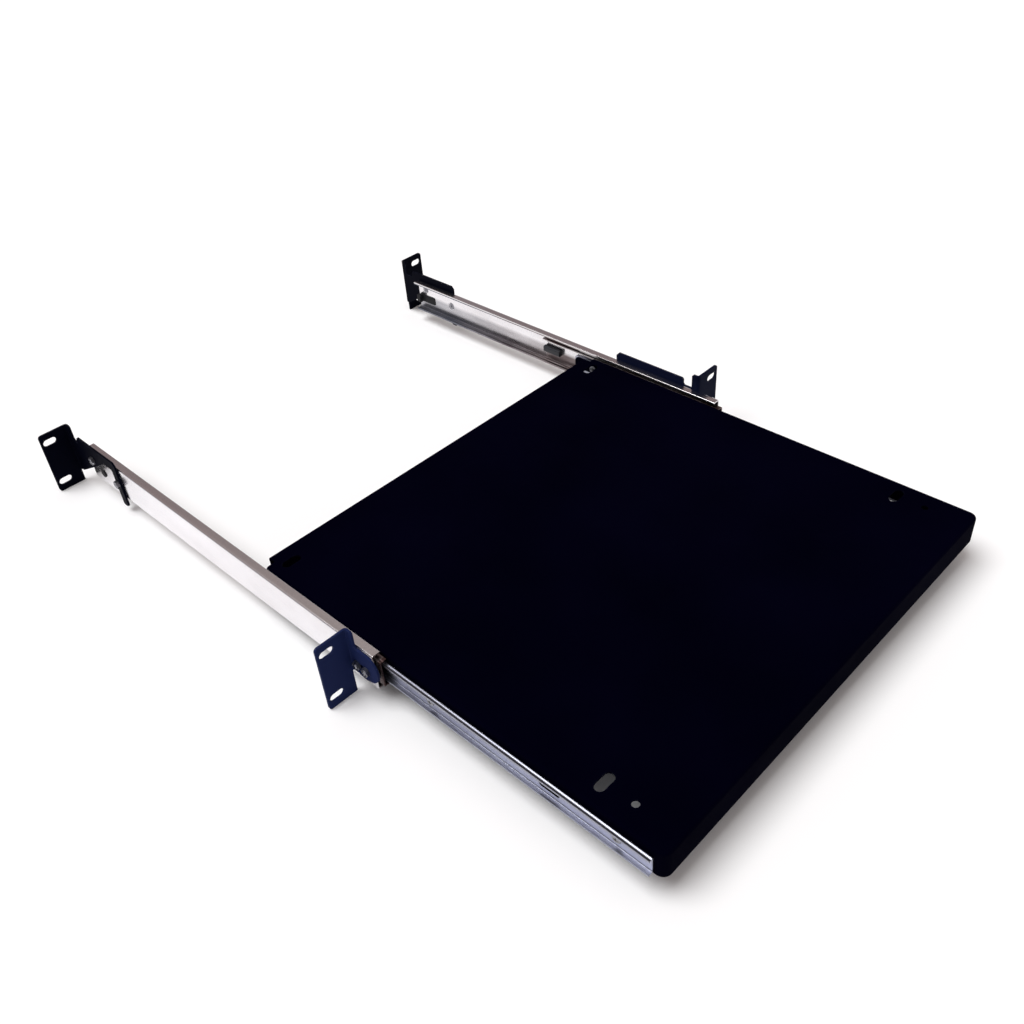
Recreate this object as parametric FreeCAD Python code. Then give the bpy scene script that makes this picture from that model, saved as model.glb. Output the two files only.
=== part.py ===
"""Sliding shelf for a 19-inch equipment rack, drawn out on two three-member ball slides.

Frame: +X to the right seen from the front, -Y towards the user, +Z up, in millimetres.
The origin is the centre of the four slots in the front ears, on the middle of their thickness.
The shelf is shown partly drawn out: the middle rails and the tray can still go both ways.
"""
import math
import os

import FreeCAD
import Part
from FreeCAD import Vector

# Rack standard
EAR_SPAN = 482.6
SLOT_SPAN_X = 465.1
SLOT_SPAN_Z = 44.45
SLOT_LENGTH = 13.0
SLOT_WIDTH = 7.0

# Tray
TRAY_WIDTH = 404.0
TRAY_DEPTH = 404.0
TRAY_BACK = 127.0
TRAY_TOP = 14.5
TRAY_FOLD = 24.0
TRAY_SHEET = 1.5
TRAY_CORNER = 7.0
TRAY_REAR_CORNER = 3.0
TRAY_BEND = 2.6
TRAY_SIDE_FOLD = 18.0
TRAY_SIDE_STEP = 14.0
TRAY_RELIEF = 9.0
TRAY_TAB_LENGTH = 16.0
TRAY_TAB_SINK = 3.0
STRAP_SLOT_LENGTH = 17.0
STRAP_SLOT_WIDTH = 8.0
STRAP_SLOT_INSET = 18.0
STRAP_SLOT_REAR = 19.0
STRAP_SLOT_FRONT = 61.0
TRAY_HOLE_FRONT = 36.5
TRAY_HOLE_RADIUS = 3.0

# Slide section: u runs outwards from the tray's side, z up from the slide's middle
BALL_RADIUS = 2.0
BALL_CLEARANCE = 0.05
OUTER_HALF = 17.0
OUTER_SHEET = 1.4
OUTER_DEPTH = 10.0
OUTER_LIP_U = 1.8
OUTER_LIP_SHEET = 1.0
OUTER_LIP_DROP = 2.4
MIDDLE_HALF = 12.5
MIDDLE_SHEET = 1.5
MIDDLE_WEB = 1.2
MIDDLE_DEPTH = 7.5
MIDDLE_EDGE_U = 1.4
INNER_HALF = 8.0
INNER_SHEET = 1.3
INNER_DEPTH = 4.8
OUTER_BALL_U = 5.2
OUTER_BALL_Z = 14.0
INNER_BALL_U = 3.0
INNER_BALL_Z = 9.5
OUTSIDE_BEND = 2.0
INSIDE_BEND = 0.6

# Slide lengths, and where the front end of each member stands
OUTER_FRONT = -24.5
OUTER_LENGTH = 416.0
MIDDLE_FRONT = -30.0
MIDDLE_LENGTH = 220.0
INNER_FRONT = -268.5
INNER_LENGTH = 412.5

# Openings in the webs: places along the rail, length and height
MIDDLE_WINDOWS = (130.0,)
MIDDLE_WINDOW = (30.0, 9.0)
INNER_WINDOWS = (-186.0,)
INNER_WINDOW = (18.0, 5.0)
PLUG_HOLE = (370.0, -3.5)
PLUG_HOLE_RADIUS = 3.0

# Ball cages
CAGE_SHEET = 0.6
CAGE_LENGTH = 70.0
CAGE_BALLS = 3
CAGE_PITCH = 28.0
POCKET_SIDE = 4.3
OUTER_CAGE_MIDDLE = 104.5
OUTER_CAGE_U = (2.5, 8.35)
INNER_CAGE_MIDDLE = 60.0
INNER_CAGE_U = (0.5, 6.0)

# Stops pressed out of the webs and bent from the inner rail, which end the cages' run: places as (y, z)
CAGE_STOP_RADIUS = 1.8
CAGE_STOP_HEIGHT = 0.6
OUTER_CAGE_STOP = (22.0, 7.0)
MIDDLE_REAR_STOP = (187.0, 7.0)
MIDDLE_FRONT_STOP = (-17.0, 4.0)
INNER_TAB_Y = 137.0
INNER_TAB_LENGTH = 3.2
INNER_TAB_HEIGHT = 1.0

# Brackets: the ear, the notch between ear and leg, and the three kinds of leg
BRACKET_SHEET = 2.0
BRACKET_BEND = 1.0
EAR_HEIGHT = 63.5
EAR_CORNER = 3.0
REAR_EAR_Y = 420.0
LEG_TOP = 24.0
LEG_BOTTOM = -20.0
NOTCH_NEAR = 7.0
NOTCH_FAR = 17.0
NOTCH_FLOOR = 17.0
NOTCH_CHAMFER = 1.5
LONG_LEG = 98.0
LONG_LEG_NOSE = 1.0
LONG_LEG_STRAIGHT = 0.3
LONG_LEG_SWEEP = 30.0
NOSE_CHAMFER = 3.0
SHORT_LEG = 31.0
SHORT_LEG_TOP = 16.0
SHORT_LEG_BOTTOM = -10.0
SHORT_LEG_ROUND = 12.8
REAR_LEG = 86.0
REAR_STRUT = 8.0
REAR_STRUT_FOOT = -25.0
REAR_STRUT_CHAMFER = 1.5
ARCH_START = 4.0
ARCH_END = 64.0
ARCH_TOP = 14.0
LEG_SLOT_MARGIN = 3.5
LEG_SLOT_WIDTH = 5.0

# Fasteners: small ones and their holes are drawn as regular polygons
POLYGON_SIDES = 8
SCREW_RADIUS = 2.0
SCREW_HEAD_RADIUS = 3.6
SCREW_HEAD_HEIGHT = 0.9
SCREW_CLEARANCE = 0.25
SCREW_TIP = 0.6
NUT_FLATS = 7.0
NUT_SIDES = 6
NUT_HEIGHT = 3.0
NUT_CLEARANCE = 0.05
PAN_RADIUS = 3.6
PAN_HEIGHT = 2.1
CLINCH_RADIUS = 3.8
CLINCH_HEIGHT = 2.6

# Stops
BUMPER_LENGTH = 5.0
BUMPER_HALF = 4.5
BUMPER_CHAMFER = 1.2
TONGUE_SHEET = 0.7
PLUG_HEAD_RADIUS = 4.2
PLUG_HEAD_HEIGHT = 1.0
STOP_LENGTH = 22.0
STOP_HALF = 3.5

# Screw places as (y, z) on the rails
SHORT_LEG_SCREWS = ((-18.0, 0.0), (-8.0, 0.0))
LONG_LEG_SCREWS = ((30.0, 0.0), (78.0, 0.0))
REAR_SCREWS = ((338.0, 0.0), (380.0, 8.0))
BRACKET_SCREWS = {"left": SHORT_LEG_SCREWS + REAR_SCREWS, "right": LONG_LEG_SCREWS + REAR_SCREWS}
TRAY_SCREWS = ((-242.0, 2.0), (-76.0, 2.0), (119.0, 2.0))

HALF_TRAY = TRAY_WIDTH / 2
TRAY_FRONT = TRAY_BACK - TRAY_DEPTH
TRAY_FLOOR = TRAY_TOP - TRAY_FOLD
TRAY_SIDE_FLOOR = TRAY_TOP - TRAY_SIDE_FOLD
OUTER_BACK = OUTER_FRONT + OUTER_LENGTH
MIDDLE_BACK = MIDDLE_FRONT + MIDDLE_LENGTH
OUTER_WEB = OUTER_DEPTH - OUTER_SHEET
MIDDLE_INSIDE = MIDDLE_DEPTH - MIDDLE_WEB
LEG_X = HALF_TRAY + OUTER_DEPTH
HALF_EAR = EAR_HEIGHT / 2
SIDES = ("left", "right")
ALONG_X = Vector(1, 0, 0)
ALONG_Y = Vector(0, 1, 0)
MARGIN = 1.0
TOUCH = 1e-6
BALL_LATITUDES = (-45, 0, 45)
BALL_MERIDIANS = 8


def rounded_wire(corners, place):
    """Closed wire through (a, b, radius) corners: a radius makes an arc, a negative one a chamfer."""
    count = len(corners)
    runs = []
    for index, (a, b, radius) in enumerate(corners):
        here = Vector(a, b, 0)
        before = (Vector(*corners[index - 1][:2], 0) - here).normalize()
        after = (Vector(*corners[(index + 1) % count][:2], 0) - here).normalize()
        if radius == 0:
            runs.append((here, None, here))
            continue
        if radius < 0:
            runs.append((here - before * radius, None, here - after * radius))
            continue
        half_angle = before.getAngle(after) / 2
        reach = radius / math.tan(half_angle)
        towards = (before + after).normalize()
        middle = here + towards * (radius / math.sin(half_angle) - radius)
        runs.append((here + before * reach, middle, here + after * reach))
    edges = []
    for index, (start, middle, end) in enumerate(runs):
        if middle is not None:
            edges.append(Part.Arc(place(start), place(middle), place(end)).toShape())
        elif (end - start).Length > TOUCH:
            edges.append(Part.LineSegment(place(start), place(end)).toShape())
        following = runs[(index + 1) % count][0]
        if (following - end).Length > TOUCH:
            edges.append(Part.LineSegment(place(end), place(following)).toShape())
    return Part.Wire(edges)


def plan_prism(corners, low, high):
    """Solid of an XY outline between two heights."""
    face = Part.Face(rounded_wire(corners, lambda p: Vector(p.x, p.y, low)))
    return face.extrude(Vector(0, 0, high - low))


def side_prism(corners, near, far):
    """Solid of a YZ outline between two X places."""
    face = Part.Face(rounded_wire(corners, lambda p: Vector(near, p.x, p.y)))
    return face.extrude(Vector(far - near, 0, 0))


def front_prism(corners, front, back):
    """Solid of an XZ outline between two Y places."""
    face = Part.Face(rounded_wire(corners, lambda p: Vector(p.x, front, p.y)))
    return face.extrude(Vector(0, back - front, 0))


def rectangle(a, b, length, width, radius=0):
    """Corners of a rectangle about its middle."""
    return [
        (a - length / 2, b - width / 2, radius),
        (a + length / 2, b - width / 2, radius),
        (a + length / 2, b + width / 2, radius),
        (a - length / 2, b + width / 2, radius),
    ]


def slot_outline(a, b, length, width):
    """Corners of a round-ended slot that runs along the first axis."""
    return rectangle(a, b, length, width, width / 2)


def polygon(a, b, radius, sides=POLYGON_SIDES):
    """Corners of a regular polygon with a given radius to its corners."""
    angles = [2 * math.pi * (index + 0.5) / sides for index in range(sides)]
    return [(a + radius * math.cos(angle), b + radius * math.sin(angle), 0) for angle in angles]


def bolt(place, radius, x, length):
    """Many-sided pin along +X at a (y, z) place."""
    return side_prism(polygon(*place, radius), x, x + length)


def bolt_hole(place, radius, x, length):
    """Hole that clears a pin of the given radius all round."""
    return bolt(place, (radius + SCREW_CLEARANCE) / math.cos(math.pi / POLYGON_SIDES), x, length)


def box(x, y, z):
    """Box between (low, high) pairs."""
    size = [high - low for low, high in (x, y, z)]
    return Part.makeBox(*size, Vector(x[0], y[0], z[0]))


def on_side(shape, side):
    """A shape drawn for the right, or its mirror image for the left."""
    if side == "right":
        return shape
    return shape.mirror(Vector(0, 0, 0), ALONG_X)


def channel(upper, front, length):
    """Rail along Y from the upper half of its section, listed from the back of the web to its inside."""
    lower = [(u, -z, radius) for u, z, radius in reversed(upper)]
    corners = [(HALF_TRAY + u, z, radius) for u, z, radius in upper + lower]
    return front_prism(corners, front, front + length)


def cut_races(rail, u, z, front, length):
    """Cut the upper and lower ball races of one stage along a rail."""
    for height in (z, -z):
        start = Vector(HALF_TRAY + u, front - MARGIN, height)
        radius = BALL_RADIUS + BALL_CLEARANCE
        rail = rail.cut(Part.makeCylinder(radius, length + 2 * MARGIN, start, ALONG_Y))
    return rail


def cut_windows(rail, places, size, u_low, u_high):
    """Cut round-ended openings through a rail's web."""
    for y in places:
        outline = slot_outline(y, 0, *size)
        near = HALF_TRAY + u_low - MARGIN
        far = HALF_TRAY + u_high + MARGIN
        rail = rail.cut(side_prism(outline, near, far))
    return rail


def press_stop(rail, place, u_low, u_high, outwards):
    """Press a round cage stop out of a web, with the hollow that it leaves on the web's other face."""
    low = HALF_TRAY + u_low
    high = HALF_TRAY + u_high
    stop_x = high if outwards else low - CAGE_STOP_HEIGHT
    hollow_x = low if outwards else high - CAGE_STOP_HEIGHT
    rail = rail.fuse(bolt(place, CAGE_STOP_RADIUS, stop_x, CAGE_STOP_HEIGHT))
    return rail.cut(bolt(place, CAGE_STOP_RADIUS - CAGE_STOP_HEIGHT, hollow_x, CAGE_STOP_HEIGHT))


def outer_rail(holes):
    """Outer channel with lips that keep the cage in, sunk screw holes and a hole for the bumper's plug."""
    flange = OUTER_HALF - OUTER_SHEET
    lip = OUTER_HALF - OUTER_LIP_DROP
    lip_inside = OUTER_LIP_U + OUTER_LIP_SHEET
    rail = channel([
        (OUTER_DEPTH, OUTER_HALF, OUTSIDE_BEND),
        (OUTER_LIP_U, OUTER_HALF, INSIDE_BEND),
        (OUTER_LIP_U, lip, 0),
        (lip_inside, lip, 0),
        (lip_inside, flange, 0),
        (OUTER_WEB, flange, INSIDE_BEND),
    ], OUTER_FRONT, OUTER_LENGTH)
    rail = cut_races(rail, OUTER_BALL_U, OUTER_BALL_Z, OUTER_FRONT, OUTER_LENGTH)
    web_x = HALF_TRAY + OUTER_WEB
    for place in holes:
        rail = rail.cut(bolt_hole(place, SCREW_HEAD_RADIUS, web_x, SCREW_HEAD_HEIGHT))
        rail = rail.cut(bolt_hole(place, SCREW_RADIUS, web_x, OUTER_SHEET))
    rail = rail.cut(bolt(PLUG_HOLE, PLUG_HOLE_RADIUS, web_x, OUTER_SHEET))
    return press_stop(rail, OUTER_CAGE_STOP, OUTER_WEB, OUTER_DEPTH, False)


def middle_rail():
    """Middle channel, with an outside race for the outer rail and an inside race for the inner one."""
    flange = MIDDLE_HALF - MIDDLE_SHEET
    rail = channel([
        (MIDDLE_DEPTH, MIDDLE_HALF, OUTSIDE_BEND),
        (MIDDLE_EDGE_U, MIDDLE_HALF, 0),
        (MIDDLE_EDGE_U, flange, 0),
        (MIDDLE_INSIDE, flange, INSIDE_BEND),
    ], MIDDLE_FRONT, MIDDLE_LENGTH)
    rail = cut_races(rail, OUTER_BALL_U, OUTER_BALL_Z, MIDDLE_FRONT, MIDDLE_LENGTH)
    rail = cut_races(rail, INNER_BALL_U, INNER_BALL_Z, MIDDLE_FRONT, MIDDLE_LENGTH)
    rail = press_stop(rail, MIDDLE_REAR_STOP, MIDDLE_INSIDE, MIDDLE_DEPTH, True)
    rail = press_stop(rail, MIDDLE_FRONT_STOP, MIDDLE_INSIDE, MIDDLE_DEPTH, False)
    return cut_windows(rail, MIDDLE_WINDOWS, MIDDLE_WINDOW, MIDDLE_INSIDE, MIDDLE_DEPTH)


def inner_rail():
    """Inner channel, back to back with the tray's side, with screw holes and a cage tab on each flange."""
    flange = INNER_HALF - INNER_SHEET
    rail = channel([
        (0, INNER_HALF, OUTSIDE_BEND),
        (INNER_DEPTH, INNER_HALF, 0),
        (INNER_DEPTH, flange, 0),
        (INNER_SHEET, flange, INSIDE_BEND),
    ], INNER_FRONT, INNER_LENGTH)
    rail = cut_races(rail, INNER_BALL_U, INNER_BALL_Z, INNER_FRONT, INNER_LENGTH)
    for place in TRAY_SCREWS:
        rail = rail.cut(bolt_hole(place, SCREW_RADIUS, HALF_TRAY, INNER_SHEET))
    tab_x = HALF_TRAY + INNER_DEPTH
    for height in (flange, -INNER_HALF):
        tab = rectangle(INNER_TAB_Y, height + INNER_SHEET / 2, INNER_TAB_LENGTH, INNER_SHEET)
        rail = rail.fuse(side_prism(tab, tab_x, tab_x + INNER_TAB_HEIGHT))
    return cut_windows(rail, INNER_WINDOWS, INNER_WINDOW, 0, INNER_SHEET)


def ball_places(middle):
    """Places along Y of the balls in one row of a cage."""
    first = middle - CAGE_PITCH * (CAGE_BALLS - 1) / 2
    return [first + CAGE_PITCH * index for index in range(CAGE_BALLS)]


def ball_cage(u_edge, u_back, ball_u, ball_z, middle):
    """Thin channel with a pocket for every ball of its upper and lower row."""
    half = ball_z + CAGE_SHEET / 2
    cage = channel([
        (u_back, half, CAGE_SHEET),
        (u_edge, half, 0),
        (u_edge, half - CAGE_SHEET, 0),
        (u_back - CAGE_SHEET, half - CAGE_SHEET, 0),
    ], middle - CAGE_LENGTH / 2, CAGE_LENGTH)
    for y in ball_places(middle):
        pocket = rectangle(HALF_TRAY + ball_u, y, POCKET_SIDE, POCKET_SIDE)
        cage = cage.cut(plan_prism(pocket, -half - MARGIN, half + MARGIN))
    return cage


def ball(centre):
    """Ball with flat facets whose corners lie on the true sphere."""
    rings = []
    for latitude in BALL_LATITUDES:
        radius = BALL_RADIUS * math.cos(math.radians(latitude))
        height = centre.z + BALL_RADIUS * math.sin(math.radians(latitude))
        outline = polygon(centre.x, centre.y, radius, BALL_MERIDIANS)
        rings.append([Vector(x, y, height) for x, y, _ in outline])
    faces = []
    for index in range(BALL_MERIDIANS):
        after = (index + 1) % BALL_MERIDIANS
        column = [(ring[index], ring[after]) for ring in rings]
        low, high = column[0], column[-1]
        faces.append([low[1], low[0], centre - Vector(0, 0, BALL_RADIUS)])
        faces.append([high[0], high[1], centre + Vector(0, 0, BALL_RADIUS)])
        for below, above in zip(column, column[1:]):
            faces.append([below[0], below[1], above[1], above[0]])
    shell = Part.makeShell([Part.Face(Part.makePolygon(face + face[:1])) for face in faces])
    return Part.makeSolid(shell)


def balls(ball_u, ball_z, middle):
    """All balls of one cage, as separate solids."""
    row = [
        ball(Vector(HALF_TRAY + ball_u, y, z))
        for y in ball_places(middle)
        for z in (ball_z, -ball_z)
    ]
    return Part.makeCompound(row)


def tray():
    """Shelf plate folded down all round: a lip in front, a fold at the back and shallower sides between."""
    pan = tray_block(0).cut(tray_block(TRAY_SHEET))
    below = TRAY_FLOOR - MARGIN
    across = (HALF_TRAY - TRAY_RELIEF, HALF_TRAY + MARGIN)
    relief = box(across, (TRAY_BACK - TRAY_RELIEF, TRAY_BACK + MARGIN), (below, TRAY_TOP + MARGIN))
    step = box(across, (TRAY_FRONT + TRAY_SIDE_STEP, TRAY_BACK), (below, TRAY_SIDE_FLOOR))
    for side in SIDES:
        pan = pan.cut(on_side(relief.fuse(step), side))
        pan = pan.fuse(on_side(tray_tab(), side))
        for place in TRAY_SCREWS:
            hole = bolt_hole(place, SCREW_RADIUS, HALF_TRAY - TRAY_SHEET, TRAY_SHEET)
            pan = pan.cut(on_side(hole, side))
        x = HALF_TRAY - STRAP_SLOT_INSET
        outlines = [polygon(x, TRAY_FRONT + TRAY_HOLE_FRONT, TRAY_HOLE_RADIUS)]
        for y in (TRAY_BACK - STRAP_SLOT_REAR, TRAY_FRONT + STRAP_SLOT_FRONT):
            outlines.append(slot_outline(x, y, STRAP_SLOT_LENGTH, STRAP_SLOT_WIDTH))
        for outline in outlines:
            opening = plan_prism(outline, TRAY_TOP - TRAY_SHEET - MARGIN, TRAY_TOP + MARGIN)
            pan = pan.cut(on_side(opening, side))
    return pan.removeSplitter()


def tray_block(inset):
    """Solid of the folded tray's outside, or of its inside with the bend as a plain bevel."""
    half = HALF_TRAY - inset
    front = TRAY_FRONT + inset
    back = TRAY_BACK - inset
    corner = TRAY_CORNER - inset
    rear = TRAY_REAR_CORNER - inset
    outline = [(-half, front, corner), (half, front, corner), (half, back, rear), (-half, back, rear)]
    top = TRAY_TOP - inset
    low = TRAY_FLOOR - (MARGIN if inset else 0)
    block = plan_prism(outline, low, top)
    rim = [edge for edge in block.Edges if edge.BoundBox.ZMin > top - TOUCH]
    if inset:
        return block.makeChamfer(TRAY_BEND - inset, rim)
    return block.makeFillet(TRAY_BEND, rim)


def tray_tab():
    """Rear end of a side fold, which reaches back past the plate."""
    y_low = TRAY_BACK - 2 * TRAY_RELIEF
    y_high = TRAY_BACK + TRAY_TAB_LENGTH
    z_low = TRAY_SIDE_FLOOR
    z_high = TRAY_TOP - TRAY_BEND - TRAY_TAB_SINK
    outline = [
        (y_low, z_low, 0),
        (y_high, z_low, TRAY_BEND),
        (y_high, z_high, 2 * TRAY_BEND),
        (y_low, z_high, 0),
    ]
    return side_prism(outline, HALF_TRAY - TRAY_SHEET, HALF_TRAY)


def beside_ear(floor):
    """Corners of a leg's upper edge from the notch's floor to the bend, which is as high as the ear."""
    return [
        (NOTCH_NEAR, floor, -NOTCH_CHAMFER),
        (NOTCH_NEAR, HALF_EAR, -NOTCH_CHAMFER),
        (-MARGIN, HALF_EAR, 0),
    ]


def long_leg():
    """Long leg as (distance from the ear, height) corners: its lower edge sweeps up to the nose."""
    return [
        (-MARGIN, LEG_BOTTOM, 0),
        (LONG_LEG * LONG_LEG_STRAIGHT, LEG_BOTTOM, LONG_LEG_SWEEP),
        (LONG_LEG, LONG_LEG_NOSE, -NOSE_CHAMFER),
        (LONG_LEG, LEG_TOP, -NOSE_CHAMFER),
        (NOTCH_FAR, LEG_TOP, -NOTCH_CHAMFER),
        (NOTCH_FAR, NOTCH_FLOOR, -NOTCH_CHAMFER),
    ] + beside_ear(NOTCH_FLOOR)


def short_leg():
    """Short leg with a round end."""
    return [
        (-MARGIN, SHORT_LEG_BOTTOM, 0),
        (SHORT_LEG, SHORT_LEG_BOTTOM, SHORT_LEG_ROUND),
        (SHORT_LEG, SHORT_LEG_TOP, SHORT_LEG_ROUND),
    ] + beside_ear(SHORT_LEG_TOP)


def rear_leg():
    """Rear leg that thins to a band along the rail's top, with a strut down at its front end."""
    return [
        (-MARGIN, LEG_BOTTOM, 0),
        (ARCH_START, LEG_BOTTOM, 0),
        (ARCH_END, ARCH_TOP, 0),
        (REAR_LEG - REAR_STRUT, ARCH_TOP, -REAR_STRUT_CHAMFER),
        (REAR_LEG - REAR_STRUT, REAR_STRUT_FOOT, -REAR_STRUT_CHAMFER),
        (REAR_LEG, REAR_STRUT_FOOT, -REAR_STRUT_CHAMFER),
        (REAR_LEG, LEG_TOP, -NOSE_CHAMFER),
        (NOTCH_FAR, LEG_TOP, -NOTCH_CHAMFER),
        (NOTCH_FAR, NOTCH_FLOOR, -NOTCH_CHAMFER),
    ] + beside_ear(NOTCH_FLOOR)


def adjusting_slot(screws):
    """Outline of one long slot around a leg's screws."""
    ends = [y for y, _ in screws]
    length = max(ends) - min(ends) + 2 * LEG_SLOT_MARGIN
    return slot_outline((max(ends) + min(ends)) / 2, screws[0][1], length, LEG_SLOT_WIDTH)


def bracket(leg, forward, ear_y):
    """L bracket: an ear with two slots for the rack, and a leg of the given outline along the rail."""
    way = -1 if forward else 1
    half = BRACKET_SHEET / 2
    bend = BRACKET_BEND + BRACKET_SHEET
    ear_end = EAR_SPAN / 2
    far_x = LEG_X + BRACKET_SHEET
    reach = max(distance for distance, _, _ in leg)
    section = [
        (ear_end, ear_y - way * half, 0),
        (LEG_X, ear_y - way * half, bend),
        (LEG_X, ear_y + way * reach, 0),
        (far_x, ear_y + way * reach, 0),
        (far_x, ear_y + way * half, BRACKET_BEND),
        (ear_end, ear_y + way * half, 0),
    ]
    sheet = plan_prism(section, -HALF_EAR, HALF_EAR)
    bend_x = LEG_X + bend
    ear = [
        (bend_x, -HALF_EAR, 0),
        (ear_end, -HALF_EAR, EAR_CORNER),
        (ear_end, HALF_EAR, EAR_CORNER),
        (bend_x, HALF_EAR, 0),
    ]
    outline = [(ear_y + way * distance, z, radius) for distance, z, radius in leg]
    depth = BRACKET_SHEET + MARGIN
    kept = front_prism(ear, ear_y - depth, ear_y + depth)
    kept = kept.fuse(side_prism(outline, LEG_X - MARGIN, bend_x))
    plate = sheet.common(kept)
    for z in (SLOT_SPAN_Z / 2, -SLOT_SPAN_Z / 2):
        slot = slot_outline(SLOT_SPAN_X / 2, z, SLOT_LENGTH, SLOT_WIDTH)
        plate = plate.cut(front_prism(slot, ear_y - depth, ear_y + depth))
    return plate


def front_bracket(side):
    """The left front bracket is a short one turned round; the right one has a long leg to the rear."""
    if side == "left":
        plate, screws = bracket(short_leg(), True, 0), SHORT_LEG_SCREWS
    else:
        plate, screws = bracket(long_leg(), False, 0), LONG_LEG_SCREWS
    slot = side_prism(adjusting_slot(screws), LEG_X - MARGIN, LEG_X + BRACKET_SHEET + MARGIN)
    return plate.cut(slot).removeSplitter()


def rear_bracket():
    """Rear bracket, with a plain hole for each of its screws."""
    plate = bracket(rear_leg(), True, REAR_EAR_Y)
    for place in REAR_SCREWS:
        plate = plate.cut(bolt_hole(place, SCREW_RADIUS, LEG_X, BRACKET_SHEET))
    return plate.removeSplitter()


def bracket_screw(place):
    """Flat-head screw sunk in the outer rail's web, out through the bracket's leg."""
    web_x = HALF_TRAY + OUTER_WEB
    head = bolt(place, SCREW_HEAD_RADIUS, web_x, SCREW_HEAD_HEIGHT)
    shank = bolt(place, SCREW_RADIUS, web_x, OUTER_SHEET + BRACKET_SHEET + NUT_HEIGHT + SCREW_TIP)
    return head.fuse(shank).removeSplitter()


def bracket_nut(place):
    """Hexagon nut on the outside of a bracket's leg."""
    near = LEG_X + BRACKET_SHEET
    nut = side_prism(polygon(*place, NUT_FLATS / math.sqrt(3), NUT_SIDES), near, near + NUT_HEIGHT)
    return nut.cut(bolt(place, SCREW_RADIUS + NUT_CLEARANCE, near, NUT_HEIGHT))


def tray_screw(place):
    """Pan-head screw that holds the inner rail on the tray's side."""
    head_x = HALF_TRAY + INNER_SHEET
    head = bolt(place, PAN_RADIUS, head_x, PAN_HEIGHT)
    rim = [edge for edge in head.Edges if edge.BoundBox.XMin > head_x + PAN_HEIGHT - TOUCH]
    head = head.makeChamfer(PAN_HEIGHT / 3, rim)
    length = INNER_SHEET + TRAY_SHEET + CLINCH_HEIGHT
    return head.fuse(bolt(place, SCREW_RADIUS, head_x - length, length)).removeSplitter()


def clinch_nut(place):
    """Round nut pressed on the inside of the tray's side fold."""
    near = HALF_TRAY - TRAY_SHEET - CLINCH_HEIGHT
    nut = bolt(place, CLINCH_RADIUS, near, CLINCH_HEIGHT)
    return nut.cut(bolt(place, SCREW_RADIUS + NUT_CLEARANCE, near, CLINCH_HEIGHT))


def rear_bumper():
    """Rubber buffer that the middle rail meets when closed, held by a tongue and a plug."""
    near = HALF_TRAY + OUTER_LIP_U + OUTER_LIP_SHEET
    web_x = HALF_TRAY + OUTER_WEB
    plug_y, plug_z = PLUG_HOLE
    back = OUTER_BACK - MARGIN
    block = rectangle((near + web_x) / 2, plug_z, web_x - near, 2 * BUMPER_HALF, -BUMPER_CHAMFER)
    bumper = front_prism(block, back - BUMPER_LENGTH, back)
    length = back - plug_y + BUMPER_HALF
    tongue = rectangle(back - length / 2, plug_z, length, 2 * BUMPER_HALF, -BUMPER_CHAMFER)
    bumper = bumper.fuse(side_prism(tongue, web_x - TONGUE_SHEET, web_x))
    root_x = web_x - TONGUE_SHEET
    bumper = bumper.fuse(bolt(PLUG_HOLE, PLUG_HOLE_RADIUS - NUT_CLEARANCE, root_x, LEG_X - root_x))
    return bumper.fuse(bolt(PLUG_HOLE, PLUG_HEAD_RADIUS, LEG_X, PLUG_HEAD_HEIGHT)).removeSplitter()


def middle_stop():
    """Moulded stop in the rear end of the middle rail, which the inner rail meets when closed."""
    near = HALF_TRAY + MIDDLE_EDGE_U
    far = HALF_TRAY + MIDDLE_INSIDE
    outline = rectangle((near + far) / 2, 0, far - near, 2 * STOP_HALF, -BUMPER_CHAMFER)
    return front_prism(outline, MIDDLE_BACK - STOP_LENGTH, MIDDLE_BACK)


def side_nodes(side):
    """Right-hand shapes of every piece that both sides have."""
    screws = BRACKET_SCREWS[side]
    outer = (OUTER_BALL_U, OUTER_BALL_Z, OUTER_CAGE_MIDDLE)
    inner = (INNER_BALL_U, INNER_BALL_Z, INNER_CAGE_MIDDLE)
    return {
        "outer_rail": outer_rail(screws),
        "middle_rail": middle_rail(),
        "inner_rail": inner_rail(),
        "outer_ball_cage": ball_cage(*OUTER_CAGE_U, *outer),
        "outer_balls": balls(*outer),
        "inner_ball_cage": ball_cage(*INNER_CAGE_U, *inner),
        "inner_balls": balls(*inner),
        "rear_bracket": rear_bracket(),
        "bracket_screws": Part.makeCompound([bracket_screw(place) for place in screws]),
        "bracket_nuts": Part.makeCompound([bracket_nut(place) for place in screws]),
        "tray_screws": Part.makeCompound([tray_screw(place) for place in TRAY_SCREWS]),
        "tray_nuts": Part.makeCompound([clinch_nut(place) for place in TRAY_SCREWS]),
        "rear_bumper": rear_bumper(),
        "middle_stop": middle_stop(),
    }


def main():
    """Write every node."""
    os.makedirs("parts", exist_ok=True)
    nodes = {"tray": tray()}
    for side in SIDES:
        pieces = side_nodes(side)
        pieces["front_bracket"] = front_bracket(side)
        for name, shape in pieces.items():
            nodes[name + "_" + side] = on_side(shape, side)
    for name, shape in nodes.items():
        shape.exportStep(os.path.join("parts", name + ".step"))


main()
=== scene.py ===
"""Looks of a sliding rack shelf: black sheet steel on zinc-plated three-member ball slides.

Everything is in metres in the part's own frame: +X right, -Y towards the user, +Z up.
"""
import math

import bmesh
import bpy
from mathutils import Matrix, Vector


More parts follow.
